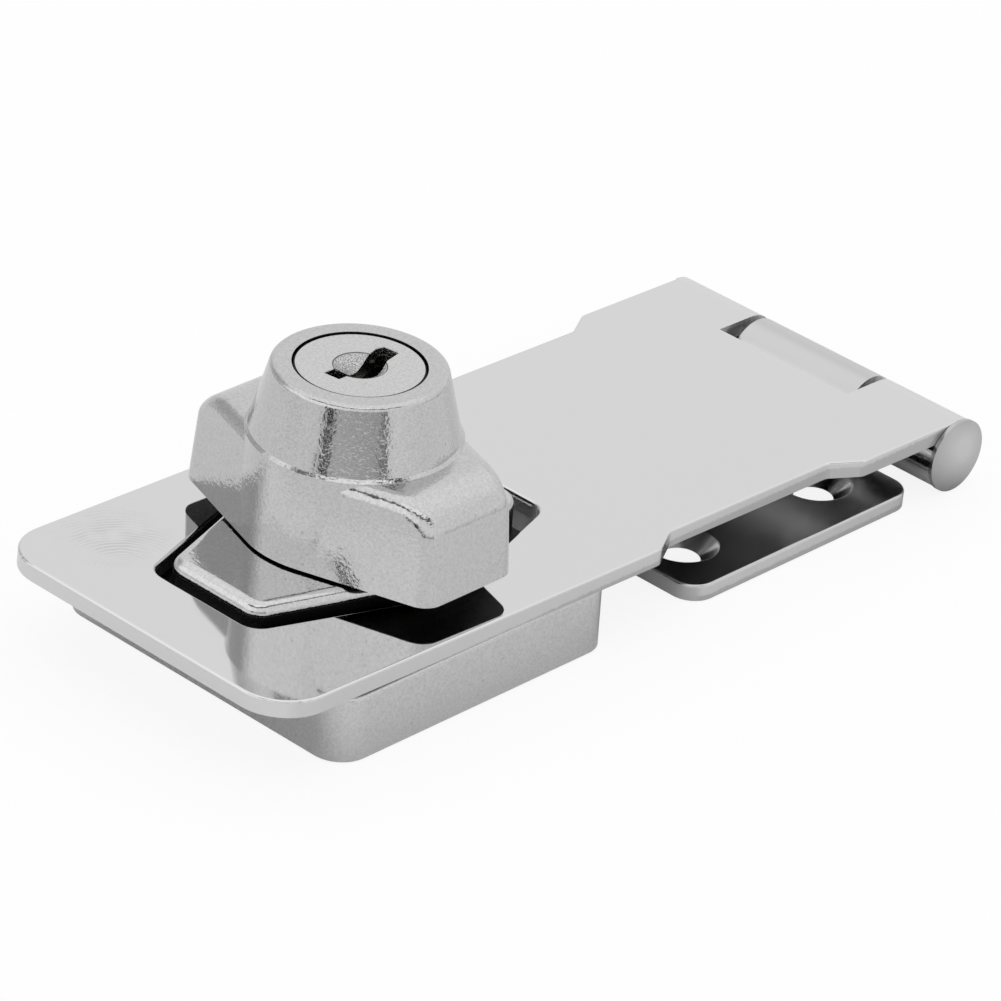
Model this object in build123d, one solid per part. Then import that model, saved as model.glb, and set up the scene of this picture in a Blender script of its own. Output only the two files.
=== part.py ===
from build123d import *
import math
import os

# Keyed hasp lock, 4-1/2 inch size, all lengths in millimetres.
# The frame stands on the mounting surface: z = 0 is the surface the lock is screwed to,
# the origin is on the axis of the turning knob, +X runs along the hasp to its hinge
# and Y runs along the hinge pin.

# Hasp plate: one strip of sheet with a window for the lock and a curled hinge edge
PLATE_LENGTH = 114.3
PLATE_WIDTH = 44.45
SHEET = 2.0
PLATE_CORNER = 6.0
WAIST_INSET = 2.2
WAIST_START = 31.0
WAIST_TO_HINGE = 20.6
WAIST_SLOPE = 3.9
WAIST_ROUND = 1.6
SHEET_EDGE_ROUND = 0.3

# Hinge
PIN_RADIUS = 2.3
PIN_CLEARANCE = 0.08
CURL_ANGLE = 292.0
MIDDLE_KNUCKLE = 18.0
KNUCKLE_GAP = 1.0
SLOT_MARGIN = 1.4
PIN_HEAD_RADIUS = 4.5
PIN_HEAD_HEIGHT = 1.5
PIN_HEAD_RIM = 0.5
PIN_HEAD_GAP = 0.05
PIN_SPREAD_RADIUS = 3.2
PIN_SPREAD_HEIGHT = 0.9
PIN_SPREAD_BEVEL = 0.25
LEAF_SIDE_GAP = 2.1

# Leaf that is screwed to the door frame
LEAF_REACH = 44.6
LEAF_HOLE_TO_HINGE = 37.7
LEAF_HOLE_PITCH_X = 23.0
LEAF_HOLE_PITCH_Y = 28.0
LEAF_CORNER = 3.0
LEAF_INNER_ROUND = 1.0

# Countersunk screw holes, the same in the leaf and in the base
SCREW_HOLE_RADIUS = 2.35
SCREW_SINK_RADIUS = 4.3

# Die-cast base with its raised hexagonal seat
BASE_START = -21.7
BASE_END = 20.8
BASE_SIDE_INSET = 0.325
BASE_CORNER = 3.7
BASE_HEIGHT = 7.8
BASE_WALL = 2.0
BASE_ROOF = 2.1
BASE_DRAFT = 1.5
BASE_EDGE_ROUND = 0.6
SEAT_TOP = 12.3
SEAT_EDGE_ROUND = 1.3
SEAT_DRAFT = 1.0
POST_RADIUS = 5.2
BASE_HOLE_PITCH_X = 29.0
BASE_HOLE_SIDE_INSET = 5.4
HUB_WALL = 2.4
HUB_BOTTOM = 4.6

# Long hexagon shared by the seat, the knob and the hasp window
HEX_SLOPE = 0.33
HEX_END_ROUND = 2.6
HEX_MIDDLE_ROUND = 12.0

# Knob
KNOB_HALF_LENGTH = 18.95
KNOB_MIDDLE_HALF = 12.9
KNOB_BOTTOM = 12.6
KNOB_SHOULDER = 24.1
KNOB_TOP = 32.2
KNOB_DRAFT = 4.5
KNOB_END_ROUND = 6.0
KNOB_SIDE_ROUND = 2.0
BARREL_FOOT_RADIUS = 12.25
BARREL_SHOULDER_RADIUS = 11.65
BARREL_TOP_RADIUS = 9.7
BARREL_TOP_ROUND = 0.7
SHOULDER_STEP = 0.35
SPINDLE_RADIUS = 9.0
SPINDLE_END = 3.4
TURN_CLEARANCE = 0.15

# Room of the hexagons: seat outside the knob, and hasp window outside the seat
SEAT_PAST_KNOB_END = 1.55
SEAT_PAST_KNOB_SIDE = 0.6
WINDOW_PAST_SEAT_END = 2.1
WINDOW_PAST_SEAT_SIDE = 1.9
WINDOW_SHIFT = 0.7
WINDOW_TO_LOCK_END = 9.62

# Key plug
PLUG_RADIUS = 7.3
PLUG_CLEARANCE = 0.12
PLUG_SINK = 0.15
PLUG_SHOULDER = 12.6
PLUG_RIM_BEVEL = 0.2
PLUG_TAIL_RADIUS = 6.0
DIMPLE_RADIUS = 3.0
DIMPLE_DEPTH = 0.8

# Wafers and the springs beside them
WAFER_COUNT = 5
WAFER_THICKNESS = 1.1
WAFER_SINK = 3.45
KEEPER_TO_WAFERS = 1.6
WAFER_WIDTH = 8.2
WAFER_CLEARANCE = 0.1
WAFER_TRAVEL = 0.9
WAFER_WINDOW_LENGTH = 7.4
WAFER_WINDOW_LOW = -3.0
WAFER_WINDOW_HIGH = 1.8
WAFER_WINDOW_X = -0.6
WAFER_STEP = 0.35
LUG_LENGTH = 1.2
LUG_REACH = 1.1
LUG_X = 0.4
SPRING_RADIUS = 0.42
SPRING_WIRE = 0.12
SPRING_LENGTH = 2.2
SPRING_TURNS = 3

# Sprung keeper that holds the plug in the knob
KEEPER_SINK = 1.3
KEEPER_WIDTH = 5.0
KEEPER_REACH = 0.7
KEEPER_LENGTH = 4.2

# Locking bolt and the pin on the plug's tail that drives it
DRIVE_PIN_RADIUS = 1.1
DRIVE_PIN_OFFSET = 2.0
DRIVE_PIN_SHORT = 0.2
TAIL_PAST_BOLT = 0.6
BOLT_THICKNESS = 2.3
BOLT_WIDTH = 7.0
BOLT_BOTTOM = 5.0
BOLT_CLEARANCE = 0.12
BOLT_END_INSET = 0.15
FORK_ROOT = 0.25

# Retaining disc, its screws, and the spring washer under the hub
RETAINER_RADIUS = 11.4
RETAINER_THICKNESS = 1.1
TAB_WIDTH = 4.0
TAB_REACH = 14.4
TAB_ANGLE = 225.0
STOP_WIDTH = 2.0
STOP_GAP_ANGLE = 1.0
SCREW_RADIUS = 1.25
SCREW_OFFSET = 6.4
SCREW_DEPTH = 3.4
SCREW_HEAD_RADIUS = 2.4
SCREW_HEAD_HEIGHT = 1.1
SCREW_FIT = 0.02
SCREW_HEAD_BEVEL = 0.5
SCREW_TIP_BEVEL = 0.35
CROSS_SLOT = 0.7
WASHER_THICKNESS = 0.35
WASHER_INNER = 9.35
WASHER_OUTER = 11.1
WASHER_END_GAP = 0.05

# Values that follow from the sizes above
CURL_INNER = PIN_RADIUS + PIN_CLEARANCE
CURL_OUTER = CURL_INNER + SHEET
HASP_REST_GAP = 0.06
SLOT_HALF = MIDDLE_KNUCKLE / 2 + KNUCKLE_GAP
SEAT_HALF_LENGTH = KNOB_HALF_LENGTH + SEAT_PAST_KNOB_END
SEAT_MIDDLE_HALF = KNOB_MIDDLE_HALF + SEAT_PAST_KNOB_SIDE
WINDOW_HALF_LENGTH = SEAT_HALF_LENGTH + WINDOW_PAST_SEAT_END
WINDOW_MIDDLE_HALF = SEAT_MIDDLE_HALF + WINDOW_PAST_SEAT_SIDE
LOCK_END = WINDOW_SHIFT - WINDOW_HALF_LENGTH - WINDOW_TO_LOCK_END
HINGE_X = LOCK_END + PLATE_LENGTH - CURL_OUTER
WAIST_END = HINGE_X - WAIST_TO_HINGE
LEAF_START = HINGE_X - LEAF_REACH
LEAF_HOLE_X = HINGE_X - LEAF_HOLE_TO_HINGE
BASE_CENTRE = (BASE_START + BASE_END) / 2
BASE_LENGTH = BASE_END - BASE_START
BASE_WIDTH = PLATE_WIDTH - 2 * BASE_SIDE_INSET
BASE_HOLE_PITCH_Y = BASE_WIDTH - 2 * BASE_HOLE_SIDE_INSET
SPINDLE_BORE = SPINDLE_RADIUS + TURN_CLEARANCE
HUB_RADIUS = SPINDLE_BORE + HUB_WALL
PLUG_BORE = PLUG_RADIUS + PLUG_CLEARANCE
TAIL_BORE = PLUG_TAIL_RADIUS + PLUG_CLEARANCE
PLUG_TOP = KNOB_TOP - PLUG_SINK
KEEPER_HEIGHT = PLUG_SHOULDER + KEEPER_SINK
WAFER_TOP = PLUG_TOP - WAFER_SINK
WAFER_STACK_BOTTOM = KEEPER_HEIGHT + WAFER_THICKNESS + KEEPER_TO_WAFERS
WAFER_PITCH = (WAFER_TOP - WAFER_STACK_BOTTOM) / WAFER_COUNT
BOLT_TOP = BOLT_BOTTOM + BOLT_THICKNESS
TAIL_END = BOLT_TOP + TAIL_PAST_BOLT
DRIVE_PIN_END = BOLT_BOTTOM + DRIVE_PIN_SHORT
DRIVE_PIN_X = -DRIVE_PIN_OFFSET * math.cos(math.radians(45))
RETAINER_BOTTOM = SPINDLE_END - RETAINER_THICKNESS


def rest_angle():
    """Angle in degrees at which the hasp lies on the hinge-side edge of the base."""
    reach = HINGE_X - BASE_END
    rise = BASE_HEIGHT + HASP_REST_GAP - CURL_OUTER
    distance = math.hypot(reach, rise)
    return math.degrees(math.atan2(rise, reach) - math.asin(CURL_INNER / distance))


def hinge_frame(solid, angle):
    """Turn a solid drawn with its sheet level about the hinge pin."""
    axis = Axis((HINGE_X, 0, CURL_OUTER), (0, 1, 0))
    return solid.rotate(axis, angle)


def hexagon(half_length, middle_half, end_round=HEX_END_ROUND):
    """Long hexagon along X: flat ends, and sides that slope to a rounded middle corner."""
    end = middle_half - HEX_SLOPE * half_length
    upper = [(half_length, end), (0, middle_half), (-half_length, end)]
    lower = [(-x, -y) for x, y in upper]
    sketch = make_face(Polyline(*upper, *lower, close=True))
    middle_corners = [v for v in sketch.vertices() if abs(v.X) < 0.01]
    sketch = fillet(middle_corners, HEX_MIDDLE_ROUND)
    end_corners = [v for v in sketch.vertices() if abs(abs(v.X) - half_length) < 0.01]
    return fillet(end_corners, end_round)


def screw_hole(top):
    """Tool for one countersunk hole whose cone opens at the height top."""
    depth = SCREW_SINK_RADIUS - SCREW_HOLE_RADIUS
    shank = Pos(0, 0, top / 2) * Cylinder(SCREW_HOLE_RADIUS, top + 4)
    cone = Pos(0, 0, top - depth / 2) * Cone(SCREW_HOLE_RADIUS, SCREW_SINK_RADIUS, depth)
    return shank + cone


def curl(width, start_angle, sweep):
    """Rolled sheet edge round the hinge pin, seen along Y from its start angle onwards."""
    ring = Circle(CURL_OUTER) - Circle(CURL_INNER)
    corners = [(0, 0)]
    steps = 12
    for i in range(steps + 1):
        angle = math.radians(start_angle + sweep * i / steps)
        corners.append((3 * CURL_OUTER * math.cos(angle), 3 * CURL_OUTER * math.sin(angle)))
    sector = make_face(Polyline(*corners, close=True))
    face = Plane.XZ * (ring & sector)
    solid = extrude(face, width / 2, both=True)
    return Pos(HINGE_X, 0, CURL_OUTER) * solid


def plate_outline():
    """Flat outline of the hasp plate from its lock end to the hinge line."""
    half = PLATE_WIDTH / 2
    waist = half - WAIST_INSET
    side = [
        (LOCK_END, half),
        (WAIST_START - WAIST_SLOPE, half),
        (WAIST_START, waist),
        (WAIST_END, waist),
        (WAIST_END + WAIST_SLOPE, half),
        (HINGE_X, half),
    ]
    mirrored = [(x, -y) for x, y in reversed(side)]
    sketch = make_face(Polyline(*side, *mirrored, close=True))
    corners = [v for v in sketch.vertices() if abs(v.X - LOCK_END) < 0.01]
    sketch = fillet(corners, PLATE_CORNER)
    bends = [v for v in sketch.vertices() if WAIST_START - WAIST_SLOPE - 0.1 < v.X < HINGE_X - 1]
    return fillet(bends, WAIST_ROUND)


def hasp_plate():
    """Stamped strip: window for the lock, slot for the leaf's knuckle, and two curled knuckles."""
    top = 2 * CURL_OUTER
    sheet = Pos(0, 0, top - SHEET) * extrude(plate_outline(), SHEET)
    window = hexagon(WINDOW_HALF_LENGTH, WINDOW_MIDDLE_HALF)
    sheet -= Pos(WINDOW_SHIFT, 0, 0) * extrude(window, 2 * top)
    long_edges = sheet.edges().filter_by(lambda e: abs(e.center().Z - top) < 0.01)
    sheet = fillet(long_edges.filter_by(lambda e: e.center().X < HINGE_X - 1), SHEET_EDGE_ROUND)
    rolled = curl(PLATE_WIDTH, 90, -CURL_ANGLE)
    slot_start = HINGE_X - CURL_OUTER - SLOT_MARGIN
    slot_end = HINGE_X + 2 * CURL_OUTER
    slot = Box(slot_end - slot_start, 2 * SLOT_HALF, 3 * top)
    plate = sheet + rolled - Pos((slot_start + slot_end) / 2, 0, top / 2) * slot
    return hinge_frame(plate, rest_angle())


def hinge_leaf():
    """Flat leaf with four countersunk holes and one curled knuckle in its middle."""
    leaf_end = HINGE_X - CURL_OUTER - LEAF_SIDE_GAP
    outline = Pos((LEAF_START + leaf_end) / 2, 0) * Rectangle(leaf_end - LEAF_START, PLATE_WIDTH)
    outline = fillet(outline.vertices(), LEAF_CORNER)
    tongue = Pos((LEAF_START + HINGE_X) / 2, 0) * Rectangle(HINGE_X - LEAF_START, MIDDLE_KNUCKLE)
    outline = (outline + tongue).clean()
    inner = [v for v in outline.vertices() if abs(v.X - leaf_end) < 0.01 and abs(v.Y) < MIDDLE_KNUCKLE]
    outline = fillet([v for v in inner if abs(v.Y) < MIDDLE_KNUCKLE / 2 + 0.01], LEAF_INNER_ROUND)
    leaf = extrude(outline, SHEET)
    for x in (LEAF_HOLE_X, LEAF_HOLE_X + LEAF_HOLE_PITCH_X):
        for y in (-LEAF_HOLE_PITCH_Y / 2, LEAF_HOLE_PITCH_Y / 2):
            leaf -= Pos(x, y, 0) * screw_hole(SHEET)
    upper = leaf.edges().filter_by(lambda e: abs(e.center().Z - SHEET) < 0.01 and e.length > 20)
    upper = upper.filter_by(lambda e: e.center().X < leaf_end - 1)
    leaf = fillet(upper, SHEET_EDGE_ROUND)
    rolled = curl(MIDDLE_KNUCKLE, -90, CURL_ANGLE)
    return leaf + rolled


def hinge_pin():
    """Round pin with a domed head at one end and a spread end at the other."""
    half = PLATE_WIDTH / 2 + PIN_HEAD_GAP
    crown = -half - PIN_HEAD_HEIGHT
    rim = -half - PIN_HEAD_RIM
    rise = rim - crown
    dome_radius = -(PIN_HEAD_RADIUS**2 + rise**2) / (2 * rise)
    dome = RadiusArc((0, crown), (PIN_HEAD_RADIUS, rim), dome_radius)
    outline = Polyline(
        (PIN_HEAD_RADIUS, rim),
        (PIN_HEAD_RADIUS, -half),
        (PIN_RADIUS, -half),
        (PIN_RADIUS, half),
        (PIN_SPREAD_RADIUS, half),
        (PIN_SPREAD_RADIUS, half + PIN_SPREAD_HEIGHT - PIN_SPREAD_BEVEL),
        (PIN_SPREAD_RADIUS - PIN_SPREAD_BEVEL, half + PIN_SPREAD_HEIGHT),
        (0, half + PIN_SPREAD_HEIGHT),
        (0, crown),
    )
    pin = revolve(make_face([*dome.edges(), *outline.edges()]), Axis.Y)
    return Pos(HINGE_X, 0, CURL_OUTER) * pin


def at_screw_places(tool):
    """Copies of a shape at the base's four screw places."""
    shapes = []
    for x in (-BASE_HOLE_PITCH_X / 2, BASE_HOLE_PITCH_X / 2):
        for y in (-BASE_HOLE_PITCH_Y / 2, BASE_HOLE_PITCH_Y / 2):
            shapes.append(Pos(x, y, 0) * tool)
    return shapes


def tube_block(radius, bottom, top):
    """Plain round block on the knob's axis between two heights."""
    return Pos(0, 0, (bottom + top) / 2) * Cylinder(radius, top - bottom)


def stop_lugs():
    """Two lugs beside the hub that end the turn of the knob's tab at a quarter turn."""
    start = RETAINER_RADIUS + 2 * TURN_CLEARANCE
    tab_half = math.degrees(math.asin(TAB_WIDTH / 2 / start))
    lug_half = math.degrees(math.asin(STOP_WIDTH / 2 / start))
    away = tab_half + lug_half + STOP_GAP_ANGLE
    length = TAB_REACH + 1 - start
    height = SEAT_TOP - BASE_ROOF - RETAINER_BOTTOM
    lug = Pos(start + length / 2, 0, RETAINER_BOTTOM + height / 2) * Box(length, STOP_WIDTH, height)
    return [Rot(0, 0, TAB_ANGLE - away) * lug, Rot(0, 0, TAB_ANGLE + 90 + away) * lug]


def bolt_notch():
    """Opening in the hub wall that the thrown bolt enters, open towards the underside."""
    length = HUB_RADIUS + 1
    height = BOLT_TOP + 2 * BOLT_CLEARANCE
    return Pos(length / 2, 0, height / 2) * Box(length, BOLT_WIDTH + 4 * BOLT_CLEARANCE, height)


def base_box():
    """Die-cast box, open underneath, with its seat, screw posts and the bearing hub."""
    foot = Pos(BASE_CENTRE, 0) * RectangleRounded(BASE_LENGTH, BASE_WIDTH, BASE_CORNER)
    box = extrude(foot, BASE_HEIGHT, taper=BASE_DRAFT)
    box = fillet(box.faces().sort_by(Axis.Z)[-1].edges(), BASE_EDGE_ROUND)
    seat_plan = hexagon(SEAT_HALF_LENGTH, SEAT_MIDDLE_HALF)
    seat = Pos(0, 0, BASE_HEIGHT - 1) * extrude(seat_plan, SEAT_TOP - BASE_HEIGHT + 1, taper=SEAT_DRAFT)
    seat = fillet(seat.faces().sort_by(Axis.Z)[-1].edges(), SEAT_EDGE_ROUND)
    solid = box + seat
    inner_corner = max(BASE_CORNER - BASE_WALL, BASE_EDGE_ROUND)
    inner = RectangleRounded(BASE_LENGTH - 2 * BASE_WALL, BASE_WIDTH - 2 * BASE_WALL, inner_corner)
    body = solid - extrude(Pos(BASE_CENTRE, 0) * inner, BASE_HEIGHT - BASE_ROOF, taper=BASE_DRAFT)
    seat_hollow = hexagon(SEAT_HALF_LENGTH - BASE_WALL, SEAT_MIDDLE_HALF - BASE_WALL)
    body -= extrude(seat_hollow, SEAT_TOP - BASE_ROOF)
    for post in at_screw_places(tube_block(POST_RADIUS, 0, BASE_HEIGHT)):
        body += post & box
    body += tube_block(HUB_RADIUS, HUB_BOTTOM, SEAT_TOP - 1)
    for lug in stop_lugs():
        body += lug
    body -= tube_block(SPINDLE_BORE, -1, SEAT_TOP + 1)
    for hole in at_screw_places(screw_hole(BASE_HEIGHT)):
        body -= hole
    for angle in (0, 90):
        body -= Rot(0, 0, angle) * bolt_notch()
    return body


def knob_wings():
    """The two tapered wings: a drafted hexagon whose ends roll over at the top."""
    height = KNOB_SHOULDER - KNOB_BOTTOM
    plan = Rot(0, 0, 90) * hexagon(KNOB_HALF_LENGTH, KNOB_MIDDLE_HALF)
    body = Pos(0, 0, KNOB_BOTTOM) * extrude(plan, height, taper=KNOB_DRAFT)
    foot = KNOB_HALF_LENGTH + 1
    top = foot - 1 - height * math.tan(math.radians(KNOB_DRAFT))
    outline = [(-foot, KNOB_BOTTOM), (foot, KNOB_BOTTOM), (top, KNOB_SHOULDER), (-top, KNOB_SHOULDER)]
    side_view = make_face(Polyline(*outline, close=True))
    upper_corners = [v for v in side_view.vertices() if abs(v.Y - KNOB_SHOULDER) < 0.01]
    side_view = fillet(upper_corners, KNOB_END_ROUND)
    body = body & extrude(Plane.YZ * side_view, KNOB_MIDDLE_HALF + 2, both=True)
    rim = body.edges().filter_by(lambda e: e.center().Z > KNOB_SHOULDER - KNOB_END_ROUND)
    return fillet(rim.filter_by(lambda e: abs(e.center().X) > KNOB_SIDE_ROUND), KNOB_SIDE_ROUND)


def knob_barrel():
    """Round body of the knob, slightly drafted to the shoulder and then a cone to the top."""
    profile = [
        (0, KNOB_BOTTOM),
        (BARREL_FOOT_RADIUS, KNOB_BOTTOM),
        (BARREL_SHOULDER_RADIUS + SHOULDER_STEP, KNOB_SHOULDER),
        (BARREL_SHOULDER_RADIUS, KNOB_SHOULDER + SHOULDER_STEP),
        (BARREL_TOP_RADIUS, KNOB_TOP),
        (0, KNOB_TOP),
    ]
    face = make_face(Polyline(*profile, close=True))
    top_corner = [v for v in face.vertices() if v.X > 1 and abs(v.Y - KNOB_TOP) < 0.01]
    return revolve(Plane.XZ * fillet(top_corner, BARREL_TOP_ROUND), Axis.Z)


def wafer_bottom(index):
    """Height of the underside of one wafer, counted from the face of the plug down."""
    return WAFER_TOP - index * WAFER_PITCH - WAFER_THICKNESS


def keeper_groove():
    """Ring groove in the knob's bore that the sprung keeper snaps into."""
    bottom = KEEPER_HEIGHT - 2 * WAFER_CLEARANCE
    top = KEEPER_HEIGHT + WAFER_THICKNESS + 2 * WAFER_CLEARANCE
    return tube_block(PLUG_RADIUS + KEEPER_REACH + 2 * WAFER_CLEARANCE, bottom, top)


def knob():
    """Die-cast knob: wings, the spindle it turns on, and the plug's bore with its crossed grooves.

    The wafers enter the grooves at both ends of the key's quarter turn, where the key comes out.
    """
    body = knob_wings() + knob_barrel() + tube_block(SPINDLE_RADIUS, SPINDLE_END, KNOB_BOTTOM + 1)
    body -= tube_block(PLUG_BORE, PLUG_SHOULDER, KNOB_TOP + 1)
    body -= tube_block(TAIL_BORE, BOLT_TOP, PLUG_SHOULDER + 1)
    body -= keeper_groove()
    channel_bottom = BOLT_BOTTOM - BOLT_CLEARANCE
    channel_height = BOLT_THICKNESS + 2 * BOLT_CLEARANCE
    channel = Box(3 * SPINDLE_RADIUS, BOLT_WIDTH + 2 * BOLT_CLEARANCE, channel_height)
    body -= Pos(0, 0, channel_bottom + channel_height / 2) * channel
    low = wafer_bottom(WAFER_COUNT - 1) - WAFER_CLEARANCE
    high = WAFER_TOP + WAFER_CLEARANCE
    reach = PLUG_BORE + WAFER_TRAVEL + WAFER_CLEARANCE
    groove = Pos(0, 0, (low + high) / 2) * Box(2 * reach, WAFER_WIDTH + 4 * WAFER_CLEARANCE, high - low)
    for angle in (0, 90):
        body -= Rot(0, 0, angle) * groove
    for side in (-1, 1):
        thread = Cylinder(SCREW_RADIUS + SCREW_FIT, 2 * SCREW_DEPTH + 0.2)
        body -= Pos(0, side * SCREW_OFFSET, SPINDLE_END) * thread
    return body


def keyway():
    """Zigzag key slot: a short arm, a wider well in the middle and a long arm."""
    corners = [
        (-4.35, 1.25), (-2.55, 1.25), (-1.85, -0.3), (-0.45, 0.1), (1.75, 1.0), (4.2, 1.75),
        (5.2, 1.45), (5.5, -0.55), (3.15, -1.05), (1.8, -1.7), (-0.25, -2.55), (-1.5, -2.15),
        (-2.15, -0.9), (-4.05, -0.85),
    ]
    return make_face(Polyline(*corners, close=True))


def spring_y():
    """Distance of the spring's axis from the middle of the plug."""
    return -WAFER_WIDTH / 2 - LUG_REACH / 2


def wafer_slot():
    """Slot through the plug for one wafer, with the side pocket for its lug and spring."""
    gap = WAFER_CLEARANCE
    height = WAFER_THICKNESS + 2 * gap
    slot = Box(3 * PLUG_RADIUS, WAFER_WIDTH + 2 * gap, height)
    pocket_start = LUG_X - LUG_LENGTH / 2 - SPRING_LENGTH - 2 * gap
    pocket_end = LUG_X + LUG_LENGTH / 2 + WAFER_TRAVEL + gap
    pocket = Box(pocket_end - pocket_start, LUG_REACH + 2 * gap, height)
    pocket = Pos((pocket_start + pocket_end) / 2, spring_y(), 0) * pocket
    return Pos(0, 0, height / 2 - gap) * (slot + pocket)


def key_plug():
    """Turned plug with its key slot, wafer slots, dimple, and the drive pin on its tail."""
    plug = tube_block(PLUG_RADIUS, PLUG_SHOULDER, PLUG_TOP)
    plug = chamfer(plug.faces().sort_by(Axis.Z)[-1].edges(), PLUG_RIM_BEVEL)
    plug += tube_block(PLUG_TAIL_RADIUS, TAIL_END, PLUG_SHOULDER + 1)
    plug += Pos(DRIVE_PIN_X, DRIVE_PIN_X, 0) * tube_block(DRIVE_PIN_RADIUS, DRIVE_PIN_END, TAIL_END + 1)
    bowl_radius = (DIMPLE_RADIUS**2 + DIMPLE_DEPTH**2) / (2 * DIMPLE_DEPTH)
    plug -= Pos(0, 0, PLUG_TOP + bowl_radius - DIMPLE_DEPTH) * Sphere(bowl_radius)
    key_depth = PLUG_TOP - wafer_bottom(WAFER_COUNT - 1) + 2 * WAFER_CLEARANCE
    plug -= Pos(0, 0, PLUG_TOP - key_depth) * extrude(keyway(), key_depth + 1)
    for i in range(WAFER_COUNT):
        plug -= Pos(0, 0, wafer_bottom(i)) * wafer_slot()
    gap = WAFER_CLEARANCE
    length = KEEPER_LENGTH + SPRING_LENGTH
    keeper_slot = Box(KEEPER_WIDTH + 2 * gap, length + PLUG_RADIUS, WAFER_THICKNESS + 2 * gap)
    start = PLUG_RADIUS + KEEPER_REACH - length - gap
    plug -= Pos(0, start + (length + PLUG_RADIUS) / 2, KEEPER_HEIGHT + WAFER_THICKNESS / 2) * keeper_slot
    return plug


def wafer(index):
    """Stamped wafer: rounded ends, a window for the key, and a lug for its spring."""
    outer = Rectangle(3 * PLUG_RADIUS, WAFER_WIDTH) & Circle(PLUG_RADIUS - WAFER_CLEARANCE)
    window_width = WAFER_WINDOW_HIGH - WAFER_WINDOW_LOW
    window_middle = (WAFER_WINDOW_HIGH + WAFER_WINDOW_LOW) / 2
    shift = WAFER_STEP * ((index * 2) % 3 - 1)
    window = Pos(WAFER_WINDOW_X + shift, window_middle) * Rectangle(WAFER_WINDOW_LENGTH, window_width)
    lug = Pos(LUG_X, spring_y() + 0.2) * Rectangle(LUG_LENGTH, LUG_REACH + 0.4)
    return Pos(0, 0, wafer_bottom(index)) * extrude(outer + lug - window, WAFER_THICKNESS)


def coil_spring():
    """Small compression spring along X whose far end is at the origin."""
    length = SPRING_LENGTH - 2 * SPRING_WIRE - WAFER_CLEARANCE
    path = Helix(length / SPRING_TURNS, length, SPRING_RADIUS - SPRING_WIRE)
    wire = Plane(path @ 0, z_dir=path % 0) * Rectangle(2 * SPRING_WIRE, 2 * SPRING_WIRE)
    coil = sweep(wire, path=path, is_frenet=True)
    return Rot(0, -90, 0) * Pos(0, 0, SPRING_WIRE) * coil


def wafer_spring(index):
    """Spring that presses on the lug of one wafer."""
    x = LUG_X - LUG_LENGTH / 2 - WAFER_CLEARANCE / 2
    return Pos(x, spring_y(), wafer_bottom(index) + WAFER_THICKNESS / 2) * coil_spring()


def plug_keeper():
    """Sprung plate at the foot of the plug that stops it from being drawn out."""
    outer_end = PLUG_RADIUS + KEEPER_REACH
    plate = Pos(0, outer_end - KEEPER_LENGTH / 2) * Rectangle(KEEPER_WIDTH, KEEPER_LENGTH)
    plate = plate & Circle(outer_end)
    return Pos(0, 0, KEEPER_HEIGHT) * extrude(plate, WAFER_THICKNESS)


def keeper_spring():
    """Spring behind the keeper plate."""
    y = PLUG_RADIUS + KEEPER_REACH - KEEPER_LENGTH - WAFER_CLEARANCE / 2
    return Pos(0, y, KEEPER_HEIGHT + WAFER_THICKNESS / 2) * Rot(0, 0, 90) * coil_spring()


def locking_bolt():
    """Flat bolt across the spindle, with a side fork for the drive pin."""
    outline = Rectangle(3 * SPINDLE_RADIUS, BOLT_WIDTH) & Circle(SPINDLE_RADIUS - BOLT_END_INSET)
    fork_half = DRIVE_PIN_RADIUS + BOLT_CLEARANCE
    fork_top = DRIVE_PIN_X + fork_half + FORK_ROOT
    fork = Pos(DRIVE_PIN_X, fork_top - BOLT_WIDTH / 2) * Rectangle(2 * fork_half, BOLT_WIDTH)
    return Pos(0, 0, BOLT_BOTTOM) * extrude(outline - fork, BOLT_THICKNESS)


def retaining_disc():
    """Steel disc screwed under the spindle, with the tab that meets the stops."""
    disc = Circle(RETAINER_RADIUS)
    tab_middle = TAB_REACH / 2
    disc += Rot(0, 0, TAB_ANGLE) * Pos(tab_middle, 0) * Rectangle(TAB_REACH, TAB_WIDTH)
    for side in (-1, 1):
        disc -= Pos(0, side * SCREW_OFFSET) * Circle(SCREW_RADIUS + PLUG_CLEARANCE)
    return Pos(0, 0, RETAINER_BOTTOM) * extrude(disc, RETAINER_THICKNESS)


def retaining_screw(side):
    """Pan-head screw that fixes the disc to the spindle."""
    head_bottom = RETAINER_BOTTOM - SCREW_HEAD_HEIGHT
    profile = [
        (0, head_bottom),
        (SCREW_HEAD_RADIUS - SCREW_HEAD_BEVEL, head_bottom),
        (SCREW_HEAD_RADIUS, head_bottom + SCREW_HEAD_BEVEL),
        (SCREW_HEAD_RADIUS, RETAINER_BOTTOM),
        (SCREW_RADIUS, RETAINER_BOTTOM),
        (SCREW_RADIUS, SPINDLE_END + SCREW_DEPTH - SCREW_TIP_BEVEL),
        (SCREW_RADIUS - SCREW_TIP_BEVEL, SPINDLE_END + SCREW_DEPTH),
        (0, SPINDLE_END + SCREW_DEPTH),
    ]
    screw = revolve(Plane.XZ * make_face(Polyline(*profile, close=True)), Axis.Z)
    arm = Pos(0, 0, head_bottom) * Box(SCREW_HEAD_RADIUS, CROSS_SLOT, SCREW_HEAD_HEIGHT)
    for angle in (0, 90):
        screw -= Rot(0, 0, angle) * arm
    return Pos(0, side * SCREW_OFFSET, 0) * screw


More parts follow.
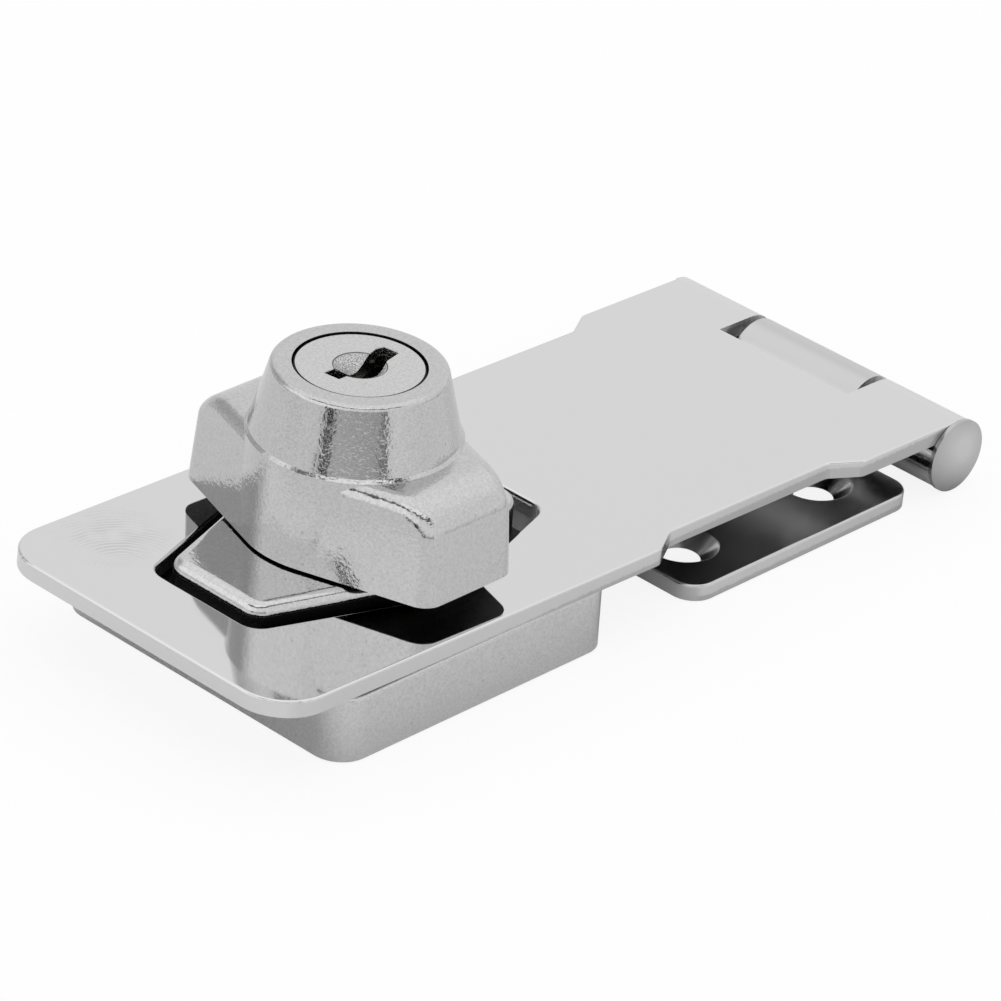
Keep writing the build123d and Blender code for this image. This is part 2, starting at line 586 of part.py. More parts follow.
def spring_washer():
    """Curved spring washer between the hub and the disc: a flat ring bowed about the Y axis."""
    low = SPINDLE_END + WASHER_END_GAP
    high = HUB_BOTTOM - WASHER_END_GAP
    reach = WASHER_OUTER + 1
    under = ThreePointArc((-reach, low), (0, high - WASHER_THICKNESS), (reach, low))
    over = ThreePointArc((-reach, low + WASHER_THICKNESS), (0, high), (reach, low + WASHER_THICKNESS))
    sides = [Line(under @ 0, over @ 0), Line(under @ 1, over @ 1)]
    bow = extrude(Plane.XZ * make_face([under, over, *sides]), WASHER_OUTER + 1, both=True)
    ring = tube_block(WASHER_OUTER, 0, KNOB_BOTTOM) - tube_block(WASHER_INNER, -1, KNOB_BOTTOM + 1)
    return ring & bow


def build_nodes():
    """All pieces by node name."""
    nodes = {}
    nodes["base_box"] = base_box()
    nodes["hasp_plate"] = hasp_plate()
    nodes["hinge_leaf"] = hinge_leaf()
    nodes["hinge_pin"] = hinge_pin()
    nodes["knob"] = knob()
    nodes["key_plug"] = key_plug()
    for i in range(WAFER_COUNT):
        nodes[f"wafer_{i + 1}"] = wafer(i)
        nodes[f"wafer_spring_{i + 1}"] = wafer_spring(i)
    nodes["plug_keeper"] = plug_keeper()
    nodes["keeper_spring"] = keeper_spring()
    nodes["locking_bolt"] = locking_bolt()
    nodes["retaining_disc"] = retaining_disc()
    nodes["retaining_screw_1"] = retaining_screw(-1)
    nodes["retaining_screw_2"] = retaining_screw(1)
    nodes["spring_washer"] = spring_washer()
    return nodes


os.makedirs("parts", exist_ok=True)
for name, solid in build_nodes().items():
    export_step(solid, f"parts/{name}.step")
    print(name, round(solid.volume, 1), "mm3", "solids", len(solid.solids()))
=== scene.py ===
# %% [markdown]
# # A keyed hasp lock in bright plate
# This lesson dresses a finished CAD model of a hasp lock. The lock is a base screwed to a
# cabinet, a strap of sheet steel that closes over it, and a winged knob that a key locks.
# Everything is in metres and in the CAD model's own frame: the origin is on the mounting
# surface under the knob, +X runs to the hinge and +Z points away from the surface.

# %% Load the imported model
import math
import bmesh
import bpy
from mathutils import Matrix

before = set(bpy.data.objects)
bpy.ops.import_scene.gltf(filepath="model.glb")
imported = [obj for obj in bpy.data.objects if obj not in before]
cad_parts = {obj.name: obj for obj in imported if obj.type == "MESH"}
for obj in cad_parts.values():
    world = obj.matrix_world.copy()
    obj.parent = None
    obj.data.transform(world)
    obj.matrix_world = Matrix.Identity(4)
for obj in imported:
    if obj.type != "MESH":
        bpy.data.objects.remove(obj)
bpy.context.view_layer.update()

# %% [markdown]
# ## Three small helpers
# Colours are written as the sRGB hex values a person would pick from a colour card. Blender's
# sockets want linear light, so one function turns them round, and one makes a darker or
# lighter shade of such a colour. The third adds a shader node, sets its sockets and links it,
# so that every material below reads as a list of what it is made of.

# %% Colour and node helpers
MM = 0.001


def linear(hex_colour):
    """sRGB hex such as "C8C8C8" to a linear RGBA value."""
    parts = [int(hex_colour[i:i + 2], 16) / 255 for i in (0, 2, 4)]
    return (*[c / 12.92 if c <= 0.04045 else ((c + 0.055) / 1.055) ** 2.4 for c in parts], 1.0)


def shaded(colour, share):
    """A linear colour with that share of its light."""
    return [c * share for c in colour[:3]] + [1.0]


def add_node(tree, kind, settings=None, **links):
    """Adds a node. Settings are attributes or input values; links name the sockets that feed it."""
    node = tree.nodes.new(kind)
    for key, value in (settings or {}).items():
        if isinstance(key, str) and hasattr(node, key):
            setattr(node, key, value)
        else:
            node.inputs[key].default_value = value
    for name, source in links.items():
        index = int(name[1:]) if name[0] == "i" and name[1:].isdigit() else name.replace("_", " ")
        tree.links.new(source, node.inputs[index])
    return node


print("mid grey B4B4B4 in linear light:", [round(c, 3) for c in linear("B4B4B4")])

# %% [markdown]
# ## Two masks
# Plate and grease lie differently in the gaps of a lock than on its open faces. The gaps are
# found by where they are: between two heights, or between two distances from the knob's axis.
# A mask is 1 there and 0 elsewhere, and the materials below mix two states with it.

# %% Masks by height and by radius
def between_heights(tree, place, low_mm, high_mm):
    """1 between two heights of the object, 0 outside, with a fade a tenth of a millimetre wide."""
    fade_mm = 0.1
    height = add_node(tree, "ShaderNodeSeparateXYZ", Vector=place).outputs["Z"]
    over = add_node(tree, "ShaderNodeMapRange",
                    {"From Min": (low_mm - fade_mm) * MM, "From Max": low_mm * MM}, Value=height)
    under = add_node(tree, "ShaderNodeMapRange",
                     {"From Min": (high_mm + fade_mm) * MM, "From Max": high_mm * MM}, Value=height)
    both = add_node(tree, "ShaderNodeMath", {"operation": "MULTIPLY"},
                    i0=over.outputs["Result"], i1=under.outputs["Result"])
    return both.outputs[0]


def between_radii(tree, place, inner_mm, outer_mm):
    """1 between two distances from the knob's axis, 0 elsewhere."""
    flat = add_node(tree, "ShaderNodeVectorMath", {"operation": "MULTIPLY", 1: (1.0, 1.0, 0.0)},
                    i0=place)
    length = add_node(tree, "ShaderNodeVectorMath", {"operation": "LENGTH"}, i0=flat.outputs["Vector"])
    away = length.outputs["Value"]
    past = add_node(tree, "ShaderNodeMath", {"operation": "GREATER_THAN", 1: inner_mm * MM}, i0=away)
    before = add_node(tree, "ShaderNodeMath", {"operation": "LESS_THAN", 1: outer_mm * MM}, i0=away)
    both = add_node(tree, "ShaderNodeMath", {"operation": "MULTIPLY"},
                    i0=past.outputs[0], i1=before.outputs[0])
    return both.outputs[0]


print("masks:", between_heights.__name__, between_radii.__name__)

# %% [markdown]
# ## Bright plating on a zinc casting
# The knob, the base and the plug are zinc castings under a bright nickel-chrome plate. Plate is
# a mirror, but it follows every small dent of the casting, so the reflections break up into
# grains. Three sizes of unevenness do it: a slow wave, an orange peel a little under a
# millimetre across and a fine grain of a third of a millimetre. A few pits sit between them.
# A bump map is the right tool, because the dents are microns deep and only bend reflections.
# The smallest grains are too fine even for that, so they are a speckle in the tone.
# Plate hardly reaches into gaps and the underside of a wing, so each casting is dull there,
# and painted dark as shade, in one band of heights, in its round gap and where it faces down.

# %% Plated casting
# Painted shade: the dark grey put into the colour of each casting's hidden places.
PAINTED_SHADE_GREY = "2A2A2A"
GAP_TOP = 32.1


def plated_casting(name, hex_colour, grain_depth_mm, roughness, hidden_mm, gap_mm):
    """Chrome over a die casting, dull and dark with painted shade at the hidden heights and between
    the gap's radii.
    """
    wave_mm = 5.0
    peel_mm = 0.9
    grain_mm = 0.36
    pit_pitch_mm = 2.6
    speckle_mm = 0.3
    haze_mm = 7.0
    dull_roughness = 0.5
    dent_depth_mm = 0.05
    material = bpy.data.materials.new(name)
    material.use_nodes = True
    tree = material.node_tree
    shader = tree.nodes["Principled BSDF"]
    shader.inputs["Metallic"].default_value = 1.0
    coordinates = add_node(tree, "ShaderNodeTexCoord")
    place = coordinates.outputs["Object"]
    wave = add_node(tree, "ShaderNodeTexNoise", {"Scale": 1 / (wave_mm * MM), "Detail": 1.0},
                    Vector=place)
    peel = add_node(tree, "ShaderNodeTexNoise", {"Scale": 1 / (peel_mm * MM), "Detail": 2.0},
                    Vector=place)
    grain = add_node(tree, "ShaderNodeTexNoise", {"Scale": 1 / (grain_mm * MM), "Detail": 2.0},
                     Vector=place)
    pits = add_node(tree, "ShaderNodeTexVoronoi", {"Scale": 1 / (pit_pitch_mm * MM)}, Vector=place)
    pit_walls = add_node(tree, "ShaderNodeMapRange", {"From Min": 0.02, "From Max": 0.08},
                         Value=pits.outputs["Distance"])
    bump = add_node(tree, "ShaderNodeBump", {"Strength": 0.5, "Distance": dent_depth_mm * MM},
                    Height=wave.outputs["Fac"])
    bump = add_node(tree, "ShaderNodeBump", {"Strength": 0.6, "Distance": grain_depth_mm * 1.5 * MM},
                    Height=peel.outputs["Fac"], Normal=bump.outputs["Normal"])
    bump = add_node(tree, "ShaderNodeBump", {"Strength": 0.6, "Distance": grain_depth_mm * MM},
                    Height=grain.outputs["Fac"], Normal=bump.outputs["Normal"])
    bump = add_node(tree, "ShaderNodeBump", {"Strength": 0.3, "Distance": dent_depth_mm * MM},
                    Height=pit_walls.outputs["Result"], Normal=bump.outputs["Normal"])
    tree.links.new(bump.outputs["Normal"], shader.inputs["Normal"])
    haze = add_node(tree, "ShaderNodeTexNoise", {"Scale": 1 / (haze_mm * MM), "Detail": 4.0},
                    Vector=place)
    polish = add_node(tree, "ShaderNodeMapRange",
                      {"From Min": 0.3, "From Max": 0.7,
                       "To Min": roughness * 0.75, "To Max": roughness * 1.35},
                      Value=haze.outputs["Fac"])
    bright = linear(hex_colour)
    speckle = add_node(tree, "ShaderNodeTexNoise",
                       {"Scale": 1 / (speckle_mm * MM), "Detail": 3.0, "Roughness": 0.7}, Vector=place)
    speckle_tone = add_node(tree, "ShaderNodeValToRGB", Fac=speckle.outputs["Fac"])
    speckle_tone.color_ramp.elements[0].position = 0.3
    speckle_tone.color_ramp.elements[0].color = shaded(bright, 0.84)
    speckle_tone.color_ramp.elements[1].position = 0.62
    speckle_tone.color_ramp.elements[1].color = shaded(bright, 1.05)
    tone = add_node(tree, "ShaderNodeMix", {"data_type": "RGBA"},
                    i0=pit_walls.outputs["Result"], i7=speckle_tone.outputs["Color"])
    tone.inputs[6].default_value = shaded(bright, 0.7)
    band = between_heights(tree, place, hidden_mm[0], hidden_mm[1])
    ring = between_radii(tree, place, gap_mm[0], gap_mm[1])
    below_rim = between_heights(tree, place, 0.0, GAP_TOP)
    gap = add_node(tree, "ShaderNodeMath", {"operation": "MULTIPLY"}, i0=ring, i1=below_rim)
    facing = add_node(tree, "ShaderNodeSeparateXYZ", Vector=coordinates.outputs["Normal"]).outputs["Z"]
    under = add_node(tree, "ShaderNodeMapRange", {"From Min": -0.7, "From Max": -0.95}, Value=facing)
    shut_in = add_node(tree, "ShaderNodeMath", {"operation": "MAXIMUM"}, i0=band, i1=gap.outputs[0])
    hidden = add_node(tree, "ShaderNodeMath", {"operation": "MAXIMUM"},
                      i0=shut_in.outputs[0], i1=under.outputs["Result"]).outputs[0]
    # Painted shade: the hidden places take the dark grey in place of the plated tone.
    painted_shade = add_node(tree, "ShaderNodeMix", {"data_type": "RGBA"}, i0=hidden, i6=tone.outputs[2])
    painted_shade.inputs[7].default_value = linear(PAINTED_SHADE_GREY)
    tree.links.new(painted_shade.outputs[2], shader.inputs["Base Color"])
    dullness = add_node(tree, "ShaderNodeMix", {"data_type": "FLOAT", 3: dull_roughness},
                        i0=hidden, i2=polish.outputs["Result"])
    tree.links.new(dullness.outputs[0], shader.inputs["Roughness"])
    return material


print("casting function:", plated_casting.__name__)

# %% [markdown]
# ## The three castings
# The base hides its roof under the strap, the knob hides its underside, and the plug hides the
# depth of its key slot. Between plug and bore is a round gap. Each casting gets its own tone,
# grain and hidden places, and the hidden places get painted shade. Heights and radii are in
# millimetres, in the CAD model's frame.

# %% Base, knob and plug
BASE_ROOF_EDGE = 7.78
SEAT_RIM_FOOT = 10.8
KNOB_UNDERSIDE = 12.4
KEYWAY_DARK_TOP = 29.6
GAP_WALL = 7.05
BORE_WALL = 7.5
chrome_base = plated_casting("chrome_plated_zinc_base", "D6D6D6", 0.022, 0.1,
                             (BASE_ROOF_EDGE, SEAT_RIM_FOOT), (0.0, 0.0))
chrome_knob = plated_casting("chrome_plated_zinc_knob", "D0D0D0", 0.04, 0.1,
                             (0.0, KNOB_UNDERSIDE), (0.0, BORE_WALL))
chrome_plug = plated_casting("chrome_plated_turned_plug", "D8D8D8", 0.045, 0.16,
                             (0.0, KEYWAY_DARK_TOP), (GAP_WALL, BORE_WALL))
print("casting materials:", chrome_base.name, chrome_knob.name, chrome_plug.name)

# %% [markdown]
# ## The frosted dimple round the key slot
# The dimple that leads the key in is pressed into the plug before plating and is left as rough
# as the press leaves it. It gets one more bump than the face round it, a coarse one, and a fine
# sparkle of light and dark. A height mask keeps both inside the bowl, and a thin grey ring of
# painted shade marks its edge.

# %% Frosted dimple
DIMPLE_FLOOR = 31.1
DIMPLE_BRIM = 31.93
DIMPLE_RADIUS = 3.0
EDGE_INSIDE = 0.12
EDGE_OUTSIDE = 0.04
FROST_MM = 0.32
FROST_DEPTH_MM = 0.16
SPARKLE_MM = 0.16
tree = chrome_plug.node_tree
plug_shader = tree.nodes["Principled BSDF"]
face_bump = plug_shader.inputs["Normal"].links[0].from_socket
place = add_node(tree, "ShaderNodeTexCoord").outputs["Object"]
bowl = between_heights(tree, place, DIMPLE_FLOOR, DIMPLE_BRIM)
frost = add_node(tree, "ShaderNodeTexNoise", {"Scale": 1 / (FROST_MM * MM), "Detail": 2.0},
                 Vector=place)
frost_height = add_node(tree, "ShaderNodeMath", {"operation": "MULTIPLY"},
                        i0=frost.outputs["Fac"], i1=bowl)
frost_bump = add_node(tree, "ShaderNodeBump", {"Strength": 1.0, "Distance": FROST_DEPTH_MM * MM},
                      Height=frost_height.outputs[0], Normal=face_bump)
tree.links.new(frost_bump.outputs["Normal"], plug_shader.inputs["Normal"])
face_tone = plug_shader.inputs["Base Color"].links[0].from_socket
sparkle = add_node(tree, "ShaderNodeTexNoise", {"Scale": 1 / (SPARKLE_MM * MM), "Detail": 1.0},
                   Vector=place)
sparkle_tone = add_node(tree, "ShaderNodeMapRange",
                        {"From Min": 0.4, "From Max": 0.58, "To Min": 0.45, "To Max": 1.0},
                        Value=sparkle.outputs["Fac"])
bowl_edge = between_radii(tree, place, DIMPLE_RADIUS - EDGE_INSIDE, DIMPLE_RADIUS + EDGE_OUTSIDE)
frosted = add_node(tree, "ShaderNodeMix", {"data_type": "RGBA", "blend_type": "MULTIPLY"},
                   i0=bowl, i6=face_tone, i7=sparkle_tone.outputs["Result"])
# Painted shade: a thin grey ring along the rim of the dimple.
lined = add_node(tree, "ShaderNodeMix", {"data_type": "RGBA"}, i0=bowl_edge, i6=frosted.outputs[2])
lined.inputs[7].default_value = linear("6E6E6E")
tree.links.new(lined.outputs[2], plug_shader.inputs["Base Color"])
print("the plug's material has", len(tree.nodes), "nodes")

# %% [markdown]
# ## Bright plating on rolled sheet
# The strap and the leaf are stamped from rolled steel, so their mirror is much calmer: only a
# very long wave from the rolling mill and hairline rubbing marks along the strap disturb it.
# The die that cuts a sheet burnishes the upper part of the edge and tears the rest, so the sides
# have a bright stripe over a darker, ragged one.

# %% Plated sheet
def plated_sheet(name, hex_colour, edge_hex, roughness, fracture_mm):
    """Chrome over rolled sheet: long waves, rubbing marks along X, sides torn below a height."""
    wave_mm, wave_depth_mm = 14.0, 0.12
    rub_marks_per_metre, rub_depth_mm = (60.0, 2500.0, 2500.0), 0.02
    tear_mm, tear_depth_mm, tear_reach_mm = 0.4, 0.06, 0.6
    haze_mm = 11.0
    sheared_roughness = 0.3
    torn_share = 0.74
    material = bpy.data.materials.new(name)
    material.use_nodes = True
    tree = material.node_tree
    shader = tree.nodes["Principled BSDF"]
    shader.inputs["Metallic"].default_value = 1.0
    coordinates = add_node(tree, "ShaderNodeTexCoord")
    place = coordinates.outputs["Object"]
    facing = add_node(tree, "ShaderNodeSeparateXYZ", Vector=coordinates.outputs["Normal"]).outputs["Y"]
    sideways = add_node(tree, "ShaderNodeMath", {"operation": "ABSOLUTE"}, i0=facing).outputs[0]
    side_mask = add_node(tree, "ShaderNodeMapRange", {"From Min": 0.75, "From Max": 0.9},
                         Value=sideways)
    sheared = side_mask.outputs["Result"]
    wave = add_node(tree, "ShaderNodeTexNoise", {"Scale": 1 / (wave_mm * MM), "Detail": 2.0},
                    Vector=place)
    bump = add_node(tree, "ShaderNodeBump", {"Strength": 0.15, "Distance": wave_depth_mm * MM},
                    Height=wave.outputs["Fac"])
    rub_place = add_node(tree, "ShaderNodeMapping", {"Scale": rub_marks_per_metre}, Vector=place)
    rub_marks_and_dome_shade = add_node(tree, "ShaderNodeTexNoise", {"Scale": 1.0, "Detail": 3.0},
                   Vector=rub_place.outputs["Vector"])
    bump = add_node(tree, "ShaderNodeBump", {"Strength": 0.06, "Distance": rub_depth_mm * MM},
                    Height=rub_marks_and_dome_shade.outputs["Fac"], Normal=bump.outputs["Normal"])
    tear = add_node(tree, "ShaderNodeTexNoise", {"Scale": 1 / (tear_mm * MM), "Detail": 3.0},
                    Vector=place)
    tear_height = add_node(tree, "ShaderNodeMath", {"operation": "MULTIPLY"},
                           i0=tear.outputs["Fac"], i1=sheared)
    bump = add_node(tree, "ShaderNodeBump", {"Strength": 0.7, "Distance": tear_depth_mm * MM},
                    Height=tear_height.outputs[0], Normal=bump.outputs["Normal"])
    tree.links.new(bump.outputs["Normal"], shader.inputs["Normal"])
    haze = add_node(tree, "ShaderNodeTexNoise", {"Scale": 1 / (haze_mm * MM), "Detail": 5.0},
                    Vector=place)
    polish = add_node(tree, "ShaderNodeMapRange",
                      {"From Min": 0.1, "From Max": 0.9,
                       "To Min": roughness * 0.6, "To Max": roughness * 1.4},
                      Value=haze.outputs["Fac"])
    dullness = add_node(tree, "ShaderNodeMix", {"data_type": "FLOAT", 3: sheared_roughness},
                        i0=sheared, i2=polish.outputs["Result"])
    tree.links.new(dullness.outputs[0], shader.inputs["Roughness"])
    height = add_node(tree, "ShaderNodeSeparateXYZ", Vector=place).outputs["Z"]
    ragged = add_node(tree, "ShaderNodeMath", {"operation": "MULTIPLY_ADD", 1: tear_reach_mm * MM},
                      i0=tear.outputs["Fac"], i2=height)
    burnish = add_node(tree, "ShaderNodeMapRange",
                       {"From Min": (fracture_mm + 0.2) * MM, "From Max": (fracture_mm + 0.5) * MM},
                       Value=ragged.outputs[0])
    edge_tone = add_node(tree, "ShaderNodeMix", {"data_type": "RGBA"}, i0=burnish.outputs["Result"])
    edge_tone.inputs[6].default_value = shaded(linear(edge_hex), torn_share)
    edge_tone.inputs[7].default_value = linear(edge_hex)
    tone = add_node(tree, "ShaderNodeMix", {"data_type": "RGBA"}, i0=sheared, i7=edge_tone.outputs[2])
    tone.inputs[6].default_value = linear(hex_colour)
    tree.links.new(tone.outputs[2], shader.inputs["Base Color"])
    return material


# Heights in millimetres under which a cut side is torn. The pin has no cut side, so its own
# lies below the whole pin.
STRAP_FRACTURE = 8.35
LEAF_FRACTURE = 0.6
PIN_FRACTURE = -2.0
chrome_strap = plated_sheet("chrome_plated_rolled_strap", "E2E2E2", "D8D8D8", 0.05, STRAP_FRACTURE)
chrome_leaf = plated_sheet("chrome_plated_rolled_leaf", "D0D0D0", "E0E0E0", 0.2, LEAF_FRACTURE)
chrome_pin = plated_sheet("chrome_plated_headed_pin", "D4D4D4", "D4D4D4", 0.25, PIN_FRACTURE)
print("sheet materials:", chrome_strap.name, chrome_leaf.name, chrome_pin.name)

# %% [markdown]
# ## Painted shade on the hinge pin's domed head
# The head stands proud as a dome. Its colour gets painted shade that grows from the crown to the
# rim, so a tone by distance from the crown shows the dome even where the room round it is plain.

# %% Painted shade on the pin's dome
PIN_AXIS = (78.4 * MM, 0.0, 4.38 * MM)
CROWN = (0.0, 0.0, 1.5 * MM)
FULL_TONE_REACH = 1 * MM
RIM_SHADE_REACH = 5.5 * MM
RIM_SHARE = 0.62
tree = chrome_pin.node_tree
pin_shader = tree.nodes["Principled BSDF"]
pin_tone = pin_shader.inputs["Base Color"].links[0].from_socket
place = add_node(tree, "ShaderNodeTexCoord").outputs["Object"]
from_axis = add_node(tree, "ShaderNodeVectorMath", {"operation": "SUBTRACT", 1: PIN_AXIS}, i0=place)
across = add_node(tree, "ShaderNodeVectorMath", {"operation": "MULTIPLY", 1: (1.0, 0.0, 1.0)},
                  i0=from_axis.outputs["Vector"])
from_crown = add_node(tree, "ShaderNodeVectorMath", {"operation": "DISTANCE", 1: CROWN},
                      i0=across.outputs["Vector"])
# Painted shade: darker from the crown towards the rim, so the head reads as a dome.
rub_marks_and_dome_shade = add_node(tree, "ShaderNodeMapRange",
               {"From Min": FULL_TONE_REACH, "From Max": RIM_SHADE_REACH, "To Min": 1.0, "To Max": RIM_SHARE},
               Value=from_crown.outputs["Value"])
dome_shaded = add_node(tree, "ShaderNodeMix", {"data_type": "RGBA", "blend_type": "MULTIPLY", 0: 1.0},
                  i6=pin_tone, i7=rub_marks_and_dome_shade.outputs["Result"])
tree.links.new(dome_shaded.outputs[2], pin_shader.inputs["Base Color"])
print("the pin's material has", len(tree.nodes), "nodes")

# %% [markdown]
# ## A thumb mark on the strap
# A mirror shows every touch. The strap has one print beside the window: curved ridges a little
# over half a millimetre apart that leave a thin film of grease. The film takes a little light
# away and does not bend the mirror, so it goes into the colour and not into the bump.

# %% Thumb mark
THUMB_MIDDLE = (-20 * MM, 15.5 * MM, 10 * MM)
RIDGE_MIDDLE = (-24 * MM, 9.7 * MM, 10 * MM)
RIDGE_PITCH = 0.6 * MM
WAVE_PERIOD = 0.314  # what a wave texture of scale 1 repeats after
PATCH_MM = 2.5
PRINT_CORE = 2 * MM
PRINT_EDGE = 7.5 * MM
tree = chrome_strap.node_tree
strap_shader = tree.nodes["Principled BSDF"]
clean_tone = strap_shader.inputs["Base Color"].links[0].from_socket
place = add_node(tree, "ShaderNodeTexCoord").outputs["Object"]
reach = add_node(tree, "ShaderNodeVectorMath", {"operation": "DISTANCE", 1: THUMB_MIDDLE}, i0=place)
pressed = add_node(tree, "ShaderNodeMapRange", {"From Min": PRINT_EDGE, "From Max": PRINT_CORE},
                   Value=reach.outputs["Value"])
patches = add_node(tree, "ShaderNodeTexNoise", {"Scale": 1 / (PATCH_MM * MM), "Detail": 2.0},
                   Vector=place)
patch_mask = add_node(tree, "ShaderNodeMapRange", {"From Min": 0.35, "From Max": 0.6},
                      Value=patches.outputs["Fac"])
print_mask = add_node(tree, "ShaderNodeMath", {"operation": "MULTIPLY"},
                      i0=pressed.outputs["Result"], i1=patch_mask.outputs["Result"])
from_whorl = add_node(tree, "ShaderNodeVectorMath", {"operation": "SUBTRACT", 1: RIDGE_MIDDLE},
                      i0=place)
ridges = add_node(tree, "ShaderNodeTexWave",
                  {"wave_type": "RINGS", "rings_direction": "Z",
                   "Scale": WAVE_PERIOD / RIDGE_PITCH, "Distortion": 6.0,
                   "Detail": 2.0, "Detail Scale": 0.6}, Vector=from_whorl.outputs["Vector"])
film = add_node(tree, "ShaderNodeMapRange", {"To Min": 1.0, "To Max": 0.84},
                Value=ridges.outputs["Fac"])
touched = add_node(tree, "ShaderNodeMix", {"data_type": "RGBA", "blend_type": "MULTIPLY"},
                   i0=print_mask.outputs[0], i6=clean_tone, i7=film.outputs["Result"])
tree.links.new(touched.outputs[2], strap_shader.inputs["Base Color"])
print("the strap's material has", len(tree.nodes), "nodes")

# %% [markdown]
# ## Inside metals
# The small pieces inside are not polished: stamped wafers with a thin nickel plate over brass,
# pale zinc-plated steel for bolt, disc and screws, and drawn wire for the springs. Their
# surfaces scatter light, so a mottled tone and roughness matter more here than a bump.

# %% Working metals
def working_metal(name, hex_colour, roughness, grain_mm):
    """Unpolished metal: mottled tone and roughness and a fine bump."""
    grain_depth_mm = 0.03
    material = bpy.data.materials.new(name)
    material.use_nodes = True
    tree = material.node_tree
    shader = tree.nodes["Principled BSDF"]
    shader.inputs["Metallic"].default_value = 1.0
    place = add_node(tree, "ShaderNodeTexCoord").outputs["Object"]
    grain = add_node(tree, "ShaderNodeTexNoise", {"Scale": 1 / (grain_mm * MM), "Detail": 4.0},
                     Vector=place)
    tone = add_node(tree, "ShaderNodeValToRGB", Fac=grain.outputs["Fac"])
    bright = linear(hex_colour)
    tone.color_ramp.elements[0].position = 0.3
    tone.color_ramp.elements[0].color = shaded(bright, 0.7)
    tone.color_ramp.elements[1].position = 0.7
    tone.color_ramp.elements[1].color = bright
    tree.links.new(tone.outputs["Color"], shader.inputs["Base Color"])
    bump = add_node(tree, "ShaderNodeBump", {"Strength": 0.4, "Distance": grain_depth_mm * MM},
                    Height=grain.outputs["Fac"])
    tree.links.new(bump.outputs["Normal"], shader.inputs["Normal"])
    polish = add_node(tree, "ShaderNodeMapRange",
                      {"To Min": roughness * 0.8, "To Max": roughness * 1.3},
                      Value=grain.outputs["Fac"])
    tree.links.new(polish.outputs["Result"], shader.inputs["Roughness"])
    return material


# The wafers' grey is darker than bright nickel: partly their own tone, partly painted shade for the
# depth of the key slot.
wafer_metal = working_metal("nickel_plated_stamped_brass", "96948C", 0.4, 0.3)
zinc_steel = working_metal("zinc_plated_steel", "B8BABC", 0.35, 0.5)
spring_wire = working_metal("drawn_spring_wire", "8C8C90", 0.3, 0.2)
print("inside metals:", wafer_metal.name, zinc_steel.name, spring_wire.name)

# %% [markdown]
# ## Give every CAD node its metal
# The CAD surfaces already have the right shape, so their objects stay and only the material
# slots change. The wafers and their springs are numbered, so their names decide.

# %% Assign materials
FINISHES = {
    "base_box": chrome_base,
    "knob": chrome_knob,
    "key_plug": chrome_plug,
    "hasp_plate": chrome_strap,
    "hinge_leaf": chrome_leaf,
    "hinge_pin": chrome_pin,
    "plug_keeper": wafer_metal,
    "locking_bolt": zinc_steel,
    "retaining_disc": zinc_steel,
    "retaining_screw_1": zinc_steel,
    "retaining_screw_2": zinc_steel,
    "spring_washer": spring_wire,
    "keeper_spring": spring_wire,
}
for node_name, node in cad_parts.items():
    metal = FINISHES.get(node_name)
    if metal is None:
        metal = spring_wire if node_name.startswith("wafer_spring_") else wafer_metal
    node.data.materials.clear()
    node.data.materials.append(metal)
print("nodes with a metal:", len(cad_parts))

# %% [markdown]
# ## Floor
# Bright plate has no colour of its own: it shows the room, so the room is half of the finish.
# The lock stands on a sheet of white paper. Seen by the camera the paper is nearly pure white,
# but it keeps a faint share of its real shading, and that share carries the contact shadow.
# One spot is covered on all sides and yet seen through the strap's window. There the glow
# fades out and leaves the true shade.

# %% Paper floor
PAPER_HALF = 0.3
PAPER_GAP = 0.13 * MM
SHADE_MIDDLE = (31 * MM, 4 * MM, 0.0)
SHADE_CORE = 5 * MM
SHADE_EDGE = 8 * MM
GLOW_STRENGTH = 1.03
GLOW_SHARE = 0.85
floor_mesh = bmesh.new()
bmesh.ops.create_grid(floor_mesh, x_segments=1, y_segments=1, size=PAPER_HALF)
bmesh.ops.translate(floor_mesh, vec=(0, 0, -PAPER_GAP), verts=floor_mesh.verts)
floor_data = bpy.data.meshes.new("floor")
floor_mesh.to_mesh(floor_data)
floor_mesh.free()
floor = bpy.data.objects.new("floor", floor_data)
bpy.context.scene.collection.objects.link(floor)
paper = bpy.data.materials.new("white_paper")
paper.use_nodes = True
tree = paper.node_tree
paper_shader = tree.nodes["Principled BSDF"]
paper_shader.inputs["Base Color"].default_value = linear("F2F2F2")
paper_shader.inputs["Roughness"].default_value = 0.9
glow = add_node(tree, "ShaderNodeEmission", {"Color": (1, 1, 1, 1), "Strength": GLOW_STRENGTH})
seen = add_node(tree, "ShaderNodeLightPath").outputs["Is Camera Ray"]
share = add_node(tree, "ShaderNodeMath", {"operation": "MULTIPLY", 1: GLOW_SHARE}, i0=seen)
paper_place = add_node(tree, "ShaderNodeTexCoord").outputs["Object"]
from_shade = add_node(tree, "ShaderNodeVectorMath", {"operation": "DISTANCE", 1: SHADE_MIDDLE},
                      i0=paper_place)
open_paper = add_node(tree, "ShaderNodeMapRange", {"From Min": SHADE_CORE, "From Max": SHADE_EDGE},
                      Value=from_shade.outputs["Value"])
glow_share = add_node(tree, "ShaderNodeMath", {"operation": "MULTIPLY"},
                      i0=share.outputs[0], i1=open_paper.outputs["Result"])
white_mix = add_node(tree, "ShaderNodeMixShader",
                     i0=glow_share.outputs[0], i1=paper_shader.outputs[0], i2=glow.outputs[0])
tree.links.new(white_mix.outputs[0], tree.nodes["Material Output"].inputs["Surface"])
floor_data.materials.append(paper)
print("paper is", 2 * PAPER_HALF, "m wide")

# %% [markdown]
# ## The room that the plate shows
# A cone shows a thin slice of the room near the horizon, stretched up its whole side. In the
# photograph that slice holds a dark gap on the left, a grey zone behind the camera and a
# lighter wall on the right, so the world is built the same way: one ramp by compass direction
# for the horizon and one for the walls above it.

